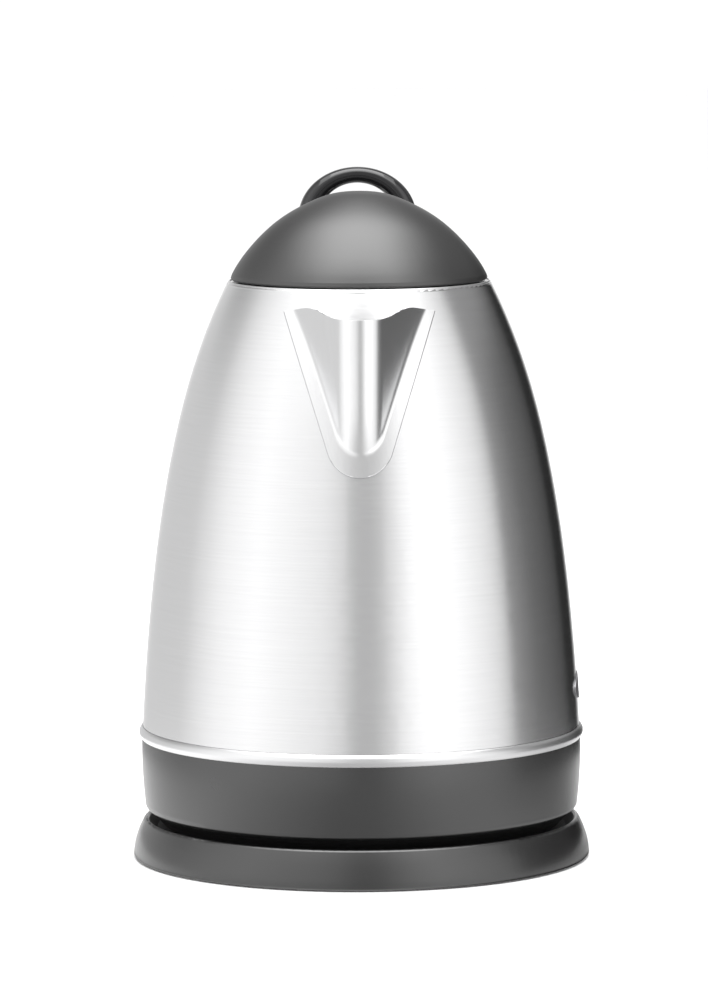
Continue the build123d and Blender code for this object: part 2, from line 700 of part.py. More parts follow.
def handle_shell():
    """The outer half of the handle, hollow, with the hinge ears."""
    hollow = Pos(0, (COVER_SPLIT + HOLLOW_TOP) / 2) * Rectangle(HOLLOW_W, HOLLOW_TOP - COVER_SPLIT)
    shell = handle_sweep(handle_section(COVER_SPLIT + GAP, HANDLE_D / 2) - hollow)
    hollow_leg = leg_box(UPPER_LEG, UPPER_OUT, (-10.5, 10.5), (-5, 60), (-15, HOLLOW_TOP))
    shell = handle_trim(shell) + (hinge_ears() - jug_solid(GAP) - hollow_leg)
    return shell - rod_along((1, 0, 0), HINGE_PIN_R, (-20, HINGE_Y, HINGE_Z), 40)


def handle_cover():
    """The inner half of the handle, under the fingers."""
    cover = handle_trim(handle_sweep(handle_section(-HANDLE_D / 2, COVER_SPLIT)))
    for leg, out, s in HANDLE_SCREWS:
        inner = leg_point(leg, out, s, -HANDLE_D / 2 - 1)
        cover -= rod_along((0, *out), SCREW_HOLE_R, inner, 12)
        cover -= rod_along((0, *out), SCREW_SEAT_R, inner, 2.8)
    return cover


def handle_screws():
    """Two screws that hold the cover and the shell to the bracket and to the tail."""
    screws = [screw(leg_point(leg, out, s, -8.0), (0, *out), 6.6) for leg, out, s in HANDLE_SCREWS]
    return Compound(children=screws)


def handle_bracket():
    """The steel tongue on the jug that carries the top of the handle."""
    tongue = leg_box(UPPER_LEG, UPPER_OUT, (-8, 8), (0, 27), (-4.6, -1.4)) - jug_solid(GAP)
    hole = rod_along((0, *UPPER_OUT), SCREW_R, leg_point(*HANDLE_SCREWS[0], -8), 12)
    return tongue - hole


def steam_tube():
    """The tube that leads steam from the jug down the handle to the steam switch."""
    sketch = Pos(0, TUBE_OFFSET) * (Circle(TUBE_R) - Circle(TUBE_R - 0.6))
    tube = handle_sweep(sketch) - jug_solid(GAP)
    return tube & block((-5, 5), (0, 160), (43.9, 260))


# ---- tail housing and switch --------------------------------------------------------------------


def tail_housing():
    """The block behind the skirt that carries the handle's foot and holds the switch."""
    outline = Pos(0, 88) * RectangleRounded(TAIL_W, 2 * (TAIL_BACK_Y - 88), 8)
    body = Pos(0, 0, TAIL_LOW_Z) * extrude(outline, TAIL_TOP_Z - TAIL_LOW_Z)
    rims = body.edges().group_by(Axis.Z)
    body = fillet(rims[0] + rims[-1], TAIL_ROUND)
    inside = Pos(0, 88) * RectangleRounded(TAIL_W - 2 * TAIL_WALL, 2 * (TAIL_BACK_Y - TAIL_WALL - 88), 5.8)
    low, high = TAIL_LOW_Z + TAIL_WALL, TAIL_TOP_Z - TAIL_WALL
    body -= Pos(0, 0, low) * extrude(inside, high - low)
    spigot = leg_box(LOWER_LEG, LOWER_OUT, (-10.2, 10.2), (-2, 19), (-4.8, 6.2))
    body += spigot & block((-20, 20), (60, 130), (TAIL_TOP_Z - 1, 90))
    body -= leg_box(LOWER_LEG, LOWER_OUT, (-3, 3), (-8, 24), (-0.5, 5.5))
    body -= rod_along((0, *LOWER_OUT), SCREW_R, leg_point(*HANDLE_SCREWS[1], -12), 11.0)
    body -= block((-10.6, 10.6), (100, 120), (27.0, 37.0))
    body -= rod_along((0, 1, 0), 1.9, (0, 100, LAMP_Z), 20)
    body -= rod_along((1, 0, 0), SWITCH_PIN_R, (-17.0, SWITCH_Y, SWITCH_Z), 34)
    front = disc(SKIRT_R + 0.1, 10, SKIRT_TOP_Z) + disc(BAND_R + 0.1, SKIRT_TOP_Z, 60)
    return body - front


def switch_lever():
    """The rocking lever of the power switch, with its inner arm."""
    hub = rod_along((1, 0, 0), 3.4, (-9.8, SWITCH_Y, SWITCH_Z), 19.6)
    tilt = Pos(0, SWITCH_Y, SWITCH_Z) * Rot(SWITCH_TILT, 0, 0)
    paddle = tilt * (block((-9.6, 9.6), (0, 18), (-1.6, 1.6)) + block((-9.6, 9.6), (18, 22), (-2.2, 2.4)))
    arm = block((-3, 3), (SWITCH_Y - 1.5, SWITCH_Y + 1.5), (22.6, SWITCH_Z))
    lever = hub + paddle + arm
    return lever - rod_along((1, 0, 0), SWITCH_PIN_R + RUNNING_CLEARANCE, (-12, SWITCH_Y, SWITCH_Z), 24)


def switch_pin():
    """The steel pin that the lever rocks on."""
    return rod_along((1, 0, 0), SWITCH_PIN_R, (-16.5, SWITCH_Y, SWITCH_Z), 33)


def switch_rod():
    """The push rod from the lever to the control."""
    return rod_along((0, 1, 0), ROD_R, (0, ROD_FRONT_Y, ROD_Z), SWITCH_Y - 1.9 - ROD_FRONT_Y)


def steam_disc():
    """The snap disc that turns the kettle off when steam reaches it."""
    return rod_along((0, 1, 0), STEAM_DISC_R, (0, STEAM_DISC_Y, STEAM_DISC_Z), 0.6)


def steam_carrier():
    """The frame that holds the steam disc in the tail housing."""
    front_y, back_y = STEAM_DISC_Y - 1.0, STEAM_DISC_Y + 1.6
    ring = rod_along((0, 1, 0), STEAM_DISC_R + 1.6, (0, front_y, STEAM_DISC_Z), back_y - front_y)
    ring -= rod_along((0, 1, 0), STEAM_DISC_R - 0.8, (0, 80, STEAM_DISC_Z), 12)
    wings = block((-15.7, 15.7), (front_y, back_y), (31, 38)) - block((-7, 7), (80, 90), (30, 40))
    groove = rod_along((0, 1, 0), STEAM_DISC_R + GAP, (0, STEAM_DISC_Y - GAP, STEAM_DISC_Z), 0.7)
    return ring + wings - groove


def lamp():
    """The small glow lamp behind the lens."""
    return rod_along((0, 1, 0), LAMP_R, (0, 97.5, LAMP_Z), 5.0) + Pos(0, 97.5, LAMP_Z) * Sphere(LAMP_R)


def lamp_lens():
    """The clear lens of the lamp."""
    return rod_along((0, 1, 0), LENS_R, (0, 103.2, LAMP_Z), 2.9) + Pos(0, 105.2, LAMP_Z) * Sphere(LENS_R)


# ---- lid ----------------------------------------------------------------------------------------


def lid_dome():
    """The domed lid with its hinge knuckle."""
    dome = lid_solid() - lid_solid(LID_WALL)
    tab = block((-KNUCKLE_X, KNUCKLE_X), (43.9, HINGE_Y), (211.4, 215.6)) - lid_solid(LID_WALL - 0.1)
    knuckle = rod_along((1, 0, 0), KNUCKLE_R, (-KNUCKLE_X, HINGE_Y, HINGE_Z), 2 * KNUCKLE_X)
    dome += tab + knuckle
    for x in (-LOOP_SCREW_X, LOOP_SCREW_X):
        dome += disc(SCREW_BOSS_R, LOOP_BOSS_Z, 240, x=x, y=LOOP_Y) & lid_solid()
        dome -= disc(SCREW_R, 200, 240, x=x, y=LOOP_Y)
    return dome - rod_along((1, 0, 0), HINGE_PIN_R + RUNNING_CLEARANCE, (-20, HINGE_Y, HINGE_Z), 40)


def hinge_pin():
    """The steel pin of the lid's hinge."""
    return rod_along((1, 0, 0), HINGE_PIN_R, (-12.9, HINGE_Y, HINGE_Z), 25.8)


def lid_liner():
    """The inner pan of the lid."""
    return lathe(
        (0, 203.2), (PLUG_R - 1.2, 203.2), (PLUG_R, 204.4), (PLUG_R, 210.5), (42.6, 210.5),
        (42.6, 211.4), (PLUG_R - 1.0, 211.4), (PLUG_R - 1.0, 204.2), (0, 204.2),
    )


def lid_seal():
    """The silicone ring round the plug of the lid."""
    return lathe((PLUG_R, 205.2), (41.2, 205.4), (41.8, 206.6), (41.2, 207.8), (PLUG_R, 208.0))


def lid_loop():
    """The finger loop that stands on the back of the lid."""
    outer = Pos(0, LOOP_CENTRE_Z) * Ellipse(*LOOP_OUTER)
    outer += Pos(0, LOOP_CENTRE_Z - 9) * Rectangle(2 * LOOP_OUTER[0], 18)
    inner = Pos(0, LOOP_CENTRE_Z) * Ellipse(*LOOP_INNER)
    inner += Pos(0, LOOP_CENTRE_Z - 11) * Rectangle(2 * LOOP_INNER[0], 22)
    upper = Pos(0, LOOP_CENTRE_Z + 8) * Rectangle(60, 48)
    plan = (outer - inner) & upper
    front = Plane(origin=(0, LOOP_Y + LOOP_DEPTH / 2, 0), x_dir=(1, 0, 0), z_dir=(0, -1, 0))
    arch = extrude(front * plan, LOOP_DEPTH)
    curved = arch.edges().filter_by(GeomType.ELLIPSE)
    arch = fillet(curved.filter_by(lambda e: e.length > 52), 1.9)
    pivot = Pos(0, LOOP_Y, 225)
    arch = pivot * Rot(-LOOP_LEAN, 0, 0) * pivot.inverse() * arch
    arch -= lid_solid()
    for x in (-LOOP_SCREW_X, LOOP_SCREW_X):
        arch -= disc(SCREW_R, 200, LOOP_SCREW_TIP_Z, x=x, y=LOOP_Y)
    return arch


def loop_screws():
    """Two screws from inside the lid into the feet of the loop."""
    head_z = LOOP_BOSS_Z - SCREW_HEAD_H
    length = LOOP_SCREW_TIP_Z - head_z
    places = [(x, LOOP_Y, head_z) for x in (-LOOP_SCREW_X, LOOP_SCREW_X)]
    return Compound(children=[screw(place, (0, 0, 1), length) for place in places])


PIECES = (
    base_shell, base_plate, base_feet, base_screws, base_turret, turret_contacts, cord_gland,
    socket_cup, socket_pins,
    skirt, skirt_floor, floor_screws, rim_band, heater_plate, heat_spreader, heating_element,
    control_housing, bimetal_discs,
    jug, spout, spout_strainer, side_plate, mouth_collar,
    handle_shell, handle_cover, handle_screws, handle_bracket, steam_tube,
    tail_housing, switch_lever, switch_pin, switch_rod, steam_disc, steam_carrier, lamp, lamp_lens,
    lid_dome, hinge_pin, lid_liner, lid_seal, lid_loop, loop_screws,
)

for piece in PIECES:
    save(piece.__name__, piece())
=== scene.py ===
"""Looks of the cordless kettle: camera, studio, materials, and the pieces that CAD leaves plain.

The frame's own axes are kept: +Z up, -Y the spout side, +X to the camera's right. Camera, studio and
materials are in metres. The shapes made here are written in millimetres and turned into metres by MM.
"""

import json
import math

import bmesh
import bpy
from mathutils import Matrix, Vector


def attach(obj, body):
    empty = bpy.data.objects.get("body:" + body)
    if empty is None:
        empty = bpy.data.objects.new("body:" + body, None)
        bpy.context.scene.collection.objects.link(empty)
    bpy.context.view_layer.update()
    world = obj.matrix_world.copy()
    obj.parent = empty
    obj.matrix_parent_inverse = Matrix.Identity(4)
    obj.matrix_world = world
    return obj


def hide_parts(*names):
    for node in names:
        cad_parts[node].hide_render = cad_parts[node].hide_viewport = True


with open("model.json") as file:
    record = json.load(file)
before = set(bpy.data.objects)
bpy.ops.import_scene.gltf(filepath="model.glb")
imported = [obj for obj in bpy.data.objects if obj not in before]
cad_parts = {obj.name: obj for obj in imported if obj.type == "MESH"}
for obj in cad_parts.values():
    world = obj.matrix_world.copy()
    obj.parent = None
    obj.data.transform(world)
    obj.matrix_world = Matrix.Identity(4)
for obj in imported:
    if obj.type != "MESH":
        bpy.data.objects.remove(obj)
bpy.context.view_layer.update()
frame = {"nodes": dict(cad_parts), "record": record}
nodes = frame["nodes"]

MM = 0.001

# ---- camera -------------------------------------------------------------------------------------

CAMERA_DISTANCE = 2.300
CAMERA_HEIGHT = 0.385
CAMERA_SIDE = -0.0022
CAMERA_PITCH = 6.34  # degrees, as is the roll
CAMERA_ROLL = 0.26
CAMERA_LENS = 230.4  # millimetres, as is the sensor
SENSOR_HEIGHT = 36.0
CAMERA_REACH = 50.0


def make_camera():
    """The long-lens view from slightly above the kettle, square on to its spout."""
    data = bpy.data.cameras.new("camera")
    data.sensor_fit = "VERTICAL"
    data.sensor_height = SENSOR_HEIGHT
    data.lens = CAMERA_LENS
    data.clip_end = CAMERA_REACH
    camera = bpy.data.objects.new("camera", data)
    bpy.context.scene.collection.objects.link(camera)
    camera.location = (CAMERA_SIDE, -CAMERA_DISTANCE, CAMERA_HEIGHT)
    camera.rotation_mode = "ZYX"
    camera.rotation_euler = (math.radians(90 - CAMERA_PITCH), 0, math.radians(-CAMERA_ROLL))
    bpy.context.scene.camera = camera


# ---- node helpers -------------------------------------------------------------------------------


class Shader:
    """A material's node tree with short calls for the nodes that the materials below share."""

    def __init__(self, name):
        self.material = bpy.data.materials.new(name)
        self.material.use_nodes = True
        self.tree = self.material.node_tree
        self.tree.nodes.clear()
        self.output = self.tree.nodes.new("ShaderNodeOutputMaterial")
        self.bsdf = self.tree.nodes.new("ShaderNodeBsdfPrincipled")
        self.link(self.bsdf.outputs["BSDF"], self.output.inputs["Surface"])

    def link(self, source, target):
        self.tree.links.new(source, target)

    def put(self, **values):
        """Sets constants on the shader's own sockets; an underscore stands for a space."""
        for name, value in values.items():
            socket = self.bsdf.inputs[name.replace("_", " ")]
            socket.default_value = (*value, 1.0) if isinstance(value, tuple) and len(value) == 3 else value

    def node(self, kind, **settings):
        """A new node, with its settings."""
        made = self.tree.nodes.new("ShaderNode" + kind)
        for name, value in settings.items():
            setattr(made, name, value)
        return made

    def math(self, operation, *values):
        """A math node's result, from numbers and sockets."""
        made = self.node("Math", operation=operation)
        for socket, value in zip(made.inputs, values):
            if isinstance(value, (int, float)):
                socket.default_value = value
            else:
                self.link(value, socket)
        return made.outputs[0]

    def position(self):
        """Object coordinates, which are the frame's own metres."""
        return self.node("TexCoord").outputs["Object"]

    def axes(self):
        """The X, Y and Z of the object coordinates."""
        split = self.node("SeparateXYZ")
        self.link(self.position(), split.inputs[0])
        return split.outputs

    def radius(self):
        """The distance from the kettle's axis."""
        axes = self.axes()
        squares = [self.math("MULTIPLY", axes[name], axes[name]) for name in "XY"]
        return self.math("SQRT", self.math("ADD", *squares))

    def noise(self, vector, scale, detail=2.0, roughness=0.5):
        """A soft random value between 0 and 1, around the middle most of the time."""
        made = self.node("TexNoise")
        made.inputs["Scale"].default_value = scale
        made.inputs["Detail"].default_value = detail
        made.inputs["Roughness"].default_value = roughness
        self.link(vector, made.inputs["Vector"])
        return made.outputs[0]

    def span(self, value, low, high, from_low=0.0, from_high=1.0):
        """Maps a value from one range to another."""
        made = self.node("MapRange")
        self.link(value, made.inputs["Value"])
        made.inputs["From Min"].default_value = from_low
        made.inputs["From Max"].default_value = from_high
        made.inputs["To Min"].default_value = low
        made.inputs["To Max"].default_value = high
        return made.outputs[0]

    def blend(self, factor, dark, light):
        """A colour between two, by a factor."""
        made = self.node("Mix", data_type="RGBA")
        self.link(factor, made.inputs["Factor"])
        made.inputs["A"].default_value = (*dark, 1.0)
        made.inputs["B"].default_value = (*light, 1.0)
        return made.outputs["Result"]

    def bump(self, height, depth):
        """Relief of a depth in metres, from a value between 0 and 1."""
        made = self.node("Bump")
        made.inputs["Strength"].default_value = 1.0
        made.inputs["Distance"].default_value = depth
        self.link(height, made.inputs["Height"])
        self.link(made.outputs[0], self.bsdf.inputs["Normal"])

    def round_the_axis(self, per_turn, per_metre):
        """Coordinates that wrap round the kettle's axis: slow along a brush stroke, fast across it."""
        axes = self.axes()
        turn = self.math("ARCTAN2", axes["X"], axes["Y"])
        join = self.node("CombineXYZ")
        self.link(self.math("MULTIPLY", turn, per_turn), join.inputs["X"])
        self.link(self.math("MULTIPLY", axes["Z"], per_metre), join.inputs["Y"])
        self.link(self.math("MULTIPLY", self.radius(), per_metre), join.inputs["Z"])
        return join.outputs[0]

    def stretched(self, x, y, z):
        """Object coordinates scaled by different amounts along the three axes."""
        made = self.node("Mapping")
        made.inputs["Scale"].default_value = (x, y, z)
        self.link(self.position(), made.inputs["Vector"])
        return made.outputs[0]


# ---- materials ----------------------------------------------------------------------------------

STREAK_DARKER = 0.035  # how much darker the darkest streaks of brushed metal are
MOTTLE_DARKER = 0.14  # how much darker the dull spots of cast metal are
CAST_GRAIN = 900.0
CAST_DEPTH = 2e-5
COARSE_ADDED = 0.5  # roughness added to a coarse surface
COARSE_EDGE = 0.0005  # width over which the coarse surface gives way
# How far the roughness strays over each kind of surface.
BRUSHED_STRAY = 0.03
PLASTIC_STRAY = 0.03
CAST_STRAY = 0.05
CLEAR_STRAY = 0.04


def brushed(name, strokes, colour, roughness, spread, depth, anisotropy=0.0):
    """Brushed metal: strokes makes coordinates that change slowly along the brushing."""
    shade = Shader(name)
    shade.put(Metallic=1.0)
    vector = strokes(shade)
    fine = shade.noise(vector, scale=1.0, detail=3.0, roughness=0.65)
    streaks = shade.noise(vector, scale=0.6, detail=3.0, roughness=0.75)
    broad = shade.noise(shade.position(), scale=22.0)
    dark = tuple(c * (1 - STREAK_DARKER) for c in colour)
    clearer = shade.span(streaks, 0.0, 1.0, from_low=0.3, from_high=0.7)
    shade.link(shade.blend(clearer, dark, colour), shade.bsdf.inputs["Base Color"])
    grain = shade.span(fine, -spread, spread, from_low=0.25, from_high=0.75)
    grain = shade.math("ADD", grain, shade.span(broad, 0.0, BRUSHED_STRAY))
    shade.link(shade.math("ADD", grain, roughness), shade.bsdf.inputs["Roughness"])
    if anisotropy:
        shade.put(Anisotropic=anisotropy, Anisotropic_Rotation=0.25)
        tangent = shade.node("Tangent", direction_type="RADIAL", axis="Z")
        shade.link(tangent.outputs[0], shade.bsdf.inputs["Tangent"])
    shade.bump(fine, depth)
    return shade.material


def plastic(name, colour, roughness, grain, depth, lift=1.25, coat=0.0, index=1.5, coarse_within=None):
    """Moulded plastic with a fine grain, and much rougher within a radius of the axis if one is given."""
    shade = Shader(name)
    shade.put(IOR=index, Coat_Weight=coat, Coat_Roughness=0.03)
    fine = shade.noise(shade.position(), scale=grain)
    broad = shade.noise(shade.position(), scale=30.0, detail=3.0)
    light = tuple(min(1.0, c * lift) for c in colour)
    shade.link(shade.blend(broad, colour, light), shade.bsdf.inputs["Base Color"])
    rough = shade.span(broad, roughness - PLASTIC_STRAY, roughness + PLASTIC_STRAY)
    if coarse_within:
        inside = shade.span(shade.radius(), COARSE_ADDED, 0.0, coarse_within - COARSE_EDGE, coarse_within)
        rough = shade.math("ADD", rough, inside)
    shade.link(rough, shade.bsdf.inputs["Roughness"])
    shade.bump(fine, depth)
    return shade.material


def cast_metal(name, colour, roughness):
    """Plain rolled, plated or cast metal."""
    shade = Shader(name)
    shade.put(Metallic=1.0)
    fine = shade.noise(shade.position(), scale=CAST_GRAIN, detail=3.0)
    broad = shade.noise(shade.position(), scale=60.0, detail=3.0)
    dark = tuple(c * (1 - MOTTLE_DARKER) for c in colour)
    shade.link(shade.blend(broad, dark, colour), shade.bsdf.inputs["Base Color"])
    rough = shade.span(fine, roughness - CAST_STRAY, roughness + CAST_STRAY)
    shade.link(rough, shade.bsdf.inputs["Roughness"])
    shade.bump(fine, CAST_DEPTH)
    return shade.material


def clear(name, colour, roughness):
    """Tinted clear plastic or glass."""
    shade = Shader(name)
    shade.put(Transmission_Weight=0.9, IOR=1.49)
    broad = shade.noise(shade.position(), scale=300.0)
    light = tuple(min(1.0, c * 1.1) for c in colour)
    shade.link(shade.blend(broad, colour, light), shade.bsdf.inputs["Base Color"])
    shade.link(shade.span(broad, roughness, roughness + CLEAR_STRAY), shade.bsdf.inputs["Roughness"])
    return shade.material


STEEL = (0.83, 0.83, 0.835)
SPOUT_STEEL = (0.90, 0.90, 0.905)
DENSE_PLASTIC = 1.95  # index of refraction of the outer black parts, which mirror more than most plastics
DISH_EDGE = 0.0772  # radius of the base's sunk top, which is coarse

# One material for each slot of the CAD.
MATERIALS = {
    "brushed_steel": brushed(
        "jug_steel", lambda shade: shade.round_the_axis(3.0, 2600.0), STEEL,
        roughness=0.22, spread=0.03, depth=1.2e-6, anisotropy=0.7,
    ),
    "pressed_steel": brushed(
        "spout_steel", lambda shade: shade.stretched(1800.0, 1800.0, 30.0), SPOUT_STEEL,
        roughness=0.22, spread=0.03, depth=8e-7,
    ),
    "bright_steel": brushed(
        "band_steel", lambda shade: shade.round_the_axis(2.0, 1500.0), STEEL,
        roughness=0.29, spread=0.02, depth=1e-6,
    ),
    "plain_steel": cast_metal("plain_steel", (0.58, 0.58, 0.59), 0.35),
    "screw_steel": cast_metal("screw_steel", (0.52, 0.52, 0.54), 0.30),
    "aluminium": cast_metal("aluminium", (0.78, 0.78, 0.79), 0.38),
    "brass": cast_metal("brass", (0.80, 0.58, 0.26), 0.25),
    "bimetal": cast_metal("bimetal", (0.62, 0.50, 0.34), 0.35),
    "satin_black": plastic("satin_black", (0.005, 0.005, 0.005), 0.26, 1500.0, 1e-5, index=DENSE_PLASTIC),
    "gloss_black": plastic("gloss_black", (0.008, 0.008, 0.009), 0.10, 900.0, 3e-6, lift=1.2, coat=0.6),
    "inner_black": plastic("inner_black", (0.025, 0.025, 0.025), 0.50, 1200.0, 4e-5),
    "inner_grey": plastic("inner_grey", (0.34, 0.34, 0.35), 0.55, 1200.0, 4e-5, lift=1.08),
    "silicone": plastic("silicone", (0.52, 0.52, 0.53), 0.45, 700.0, 2e-5, lift=1.05),
    "foot_rubber": plastic("foot_rubber", (0.022, 0.022, 0.022), 0.70, 800.0, 6e-5),
    "lamp_glass": clear("lamp_glass", (0.95, 0.50, 0.35), 0.05),
    "lens_clear": clear("lens_clear", (0.90, 0.42, 0.25), 0.08),
}

# Nodes that look unlike the rest of their slot.
OWN_LOOKS = {
    "lid_dome": plastic("lid_black", (0.006, 0.006, 0.006), 0.40, 1500.0, 1e-5, index=DENSE_PLASTIC),
    "base_shell": plastic(
        "base_black", (0.005, 0.005, 0.005), 0.25, 1500.0, 1e-5, index=DENSE_PLASTIC, coarse_within=DISH_EDGE
    ),
    "side_plate": cast_metal("plate_metal", (0.36, 0.36, 0.37), 0.45),
}
# Darker and rougher than the spout's steel: painted shade for the crevice along the flange's edge.
SEAM_SHADE_METAL = cast_metal("seam_shade_metal", (0.58, 0.58, 0.59), 0.45)


def dress_nodes():
    """Gives every CAD node the material of its slot, or its own."""
    for row in frame["record"]["subparts"]:
        name = row["node"]
        obj = nodes[name]
        obj.data.materials.clear()
        obj.data.materials.append(OWN_LOOKS.get(name, MATERIALS[row["material_slot"]]))


# ---- pieces -------------------------------------------------------------------------------------

SHARP_EDGE = math.radians(50)


def vertex(mesh, x, y, z):
    """A vertex at a place in millimetres."""
    return mesh.verts.new((x * MM, y * MM, z * MM))


def bridge(mesh, lines, closed=False):
    """Faces between each line of vertices and the next; closed lines also join end to start."""
    for line, following in zip(lines, lines[1:]):
        for k in range(len(line) if closed else len(line) - 1):
            after = (k + 1) % len(line)
            mesh.faces.new((line[k], following[k], following[after], line[after]))


def piece(mesh, name, material, body):
    """Turns a bmesh into a smooth object that moves with a body."""
    bmesh.ops.recalc_face_normals(mesh, faces=mesh.faces)
    data = bpy.data.meshes.new(name)
    mesh.to_mesh(data)
    mesh.free()
    made = bpy.data.objects.new(name, data)
    bpy.context.scene.collection.objects.link(made)
    data.shade_smooth()
    data.set_sharp_from_angle(angle=SHARP_EDGE)
    data.materials.append(material)
    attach(made, body)
    return made


# ---- spout --------------------------------------------------------------------------------------

# Outlines are (distance from the axis, height), the jug's as in the CAD.
JUG_OUTLINE = ((79.15, 48.2), (75.65, 95.0), (68.3, 145.0), (57.5, 185.0), (47.75, 208.0))
SPOUT_NOSE = ((66.0, 148.5), (73.9, 174.0), (78.6, 206.0))
NOSE_RADIUS = 9.0
FLANK_ANGLE = math.radians(28.3)
SPOUT_SHEET = 0.6
RIM_BEVEL = 0.12

FLANGE_SHEET = 0.75  # how far the flange's face stands out from the jug
FLANGE_TOP = (26.6, 201.6)  # x and height of the flange's upper corners
FLANGE_LOW_RADIUS = 11.7
FLANGE_LOW_Z = 144.8
FLANGE_SLOPE = math.radians(17.6)
FLANGE_INSET = 0.05  # keeps the outermost columns off the corners
FOLD_HALF = 1.0  # half the width of the rounded fold between the flange and the beak
FOLD_STEP = 0.2  # step to either side over which the beak's slope is measured
SEAM_STEP = 0.1  # the same for the slope of the flange's outline

LIP_Z = 201.0
LIP_CORNER_RISE = 0.7
HUMP_RISE = 2.5
HUMP_X = 17.3
HUMP_SPREAD = 5.6

SEAM_WIDTH = 0.32
# The seam's section from outside inwards: distance out from the flange's edge, and lift off the jug.
SEAM_SECTION = ((SEAM_WIDTH, -0.05), (SEAM_WIDTH / 2, 0.10), (0.0, 0.25), (-0.1, 0.25))

COLUMNS = 220
ROWS = 170


def through(points, value):
    """The smooth curve through (result, value) points, at a value, as one polynomial."""
    total = 0.0
    for i, (result, at) in enumerate(points):
        weight = 1.0
        for j, (_, other) in enumerate(points):
            if i != j:
                weight *= (value - other) / (at - other)
        total += result * weight
    return total


def beak_depth(x, z):
    """How far the beak stands in front of the axis at a place in the front view."""
    centre = through(SPOUT_NOSE, z) - NOSE_RADIUS
    touch = NOSE_RADIUS * math.cos(FLANK_ANGLE)
    if abs(x) <= touch:
        return centre + math.sqrt(NOSE_RADIUS ** 2 - x * x)
    return centre + NOSE_RADIUS * math.sin(FLANK_ANGLE) - (abs(x) - touch) / math.tan(FLANK_ANGLE)


def jug_depth(x, z):
    """How far the outside of the jug is in front of the axis."""
    return math.sqrt(through(JUG_OUTLINE, z) ** 2 - x * x)


def beak_rise(x, z):
    """How far the beak stands out from the face of the flange."""
    return beak_depth(x, z) - jug_depth(x, z) - FLANGE_SHEET


def spout_depth(x, z):
    """The beak and its flange as one pressed sheet, with an even rounded fold between them."""
    rise = beak_rise(x, z)
    across = beak_rise(x + FOLD_STEP, z) - beak_rise(x - FOLD_STEP, z)
    along = beak_rise(x, z + FOLD_STEP) - beak_rise(x, z - FOLD_STEP)
    reach = FOLD_HALF * math.hypot(across, along) / (2 * FOLD_STEP)
    share = min(1.0, max(0.0, 0.5 + 0.5 * rise / reach))
    return jug_depth(x, z) + FLANGE_SHEET + rise * share + reach * share * (1 - share)


def flange_low(x):
    """The lower outline of the flange: a V with a round bottom."""
    side_x = FLANGE_LOW_RADIUS * math.cos(FLANGE_SLOPE)
    side_z = FLANGE_LOW_Z + FLANGE_LOW_RADIUS * (1 - math.sin(FLANGE_SLOPE))
    if abs(x) <= side_x:
        return FLANGE_LOW_Z + FLANGE_LOW_RADIUS - math.sqrt(FLANGE_LOW_RADIUS ** 2 - x * x)
    top_x, top_z = FLANGE_TOP
    return side_z + (abs(x) - side_x) * (top_z - side_z) / (top_x - side_x)


def lip_height(x):
    """The wavy lip: low at the nose, with a hump over each flank."""
    hump = HUMP_RISE * math.exp(-((abs(x) - HUMP_X) / HUMP_SPREAD) ** 2)
    return LIP_Z + hump + LIP_CORNER_RISE * (abs(x) / FLANGE_TOP[0]) ** 4


def across_flange():
    """Places from one side of the flange to the other, closer together towards its ends."""
    half = FLANGE_TOP[0] - FLANGE_INSET
    return [-half * math.cos(math.pi * column / COLUMNS) for column in range(COLUMNS + 1)]


def make_spout():
    """A sheet laid over the front view's outline, then given its thickness and a rounded rim."""
    mesh = bmesh.new()
    lines = []
    for x in across_flange():
        low, high = flange_low(x), lip_height(x)
        heights = [low + (high - low) * row / ROWS for row in range(ROWS + 1)]
        lines.append([vertex(mesh, x, -spout_depth(x, z), z) for z in heights])
    bridge(mesh, lines)
    beak = piece(mesh, "beak", MATERIALS["pressed_steel"], "kettle")
    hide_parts("spout")
    sheet = beak.modifiers.new("sheet", "SOLIDIFY")
    sheet.thickness = SPOUT_SHEET * MM
    sheet.offset = -1.0
    rim = beak.modifiers.new("rim", "BEVEL")
    rim.width = RIM_BEVEL * MM
    rim.segments = 2
    rim.limit_method = "ANGLE"
    rim.angle_limit = SHARP_EDGE


def make_seam_shade():
    """A thin strip of duller, darker metal along the edge of the flange where it meets the jug: painted
    shade for the crevice there.
    """
    mesh = bmesh.new()
    lines = []
    for x in across_flange():
        slope = (flange_low(x + SEAM_STEP) - flange_low(x - SEAM_STEP)) / (2 * SEAM_STEP)
        length = math.hypot(1.0, slope)
        line = []
        for out, lift in SEAM_SECTION:
            at_x, at_z = x + out * slope / length, flange_low(x) - out / length
            line.append(vertex(mesh, at_x, -(jug_depth(at_x, at_z) + lift), at_z))
        lines.append(line)
    bridge(mesh, lines)
    piece(mesh, "spout_seam_shade", SEAM_SHADE_METAL, "kettle")


# ---- mouth bead ---------------------------------------------------------------------------------

# The bead's section as (distance from the axis, height); its first and last points are inside the jug.
BEAD = ((47.30, 208.30), (47.12, 209.10), (46.90, 209.30), (46.68, 209.32), (46.62, 208.70))
BEAD_STEPS = 240


def make_bead():
    """The rolled edge of the jug, which fills the step under the lid to a hairline."""
    mesh = bmesh.new()
    rings = []
    for step in range(BEAD_STEPS):
        turn = 2 * math.pi * step / BEAD_STEPS
        rings.append([vertex(mesh, r * math.sin(turn), -r * math.cos(turn), z) for r, z in BEAD])
    bridge(mesh, [*rings, rings[0]], closed=True)
    piece(mesh, "mouth_bead", MATERIALS["bright_steel"], "kettle")


# ---- finger loop --------------------------------------------------------------------------------

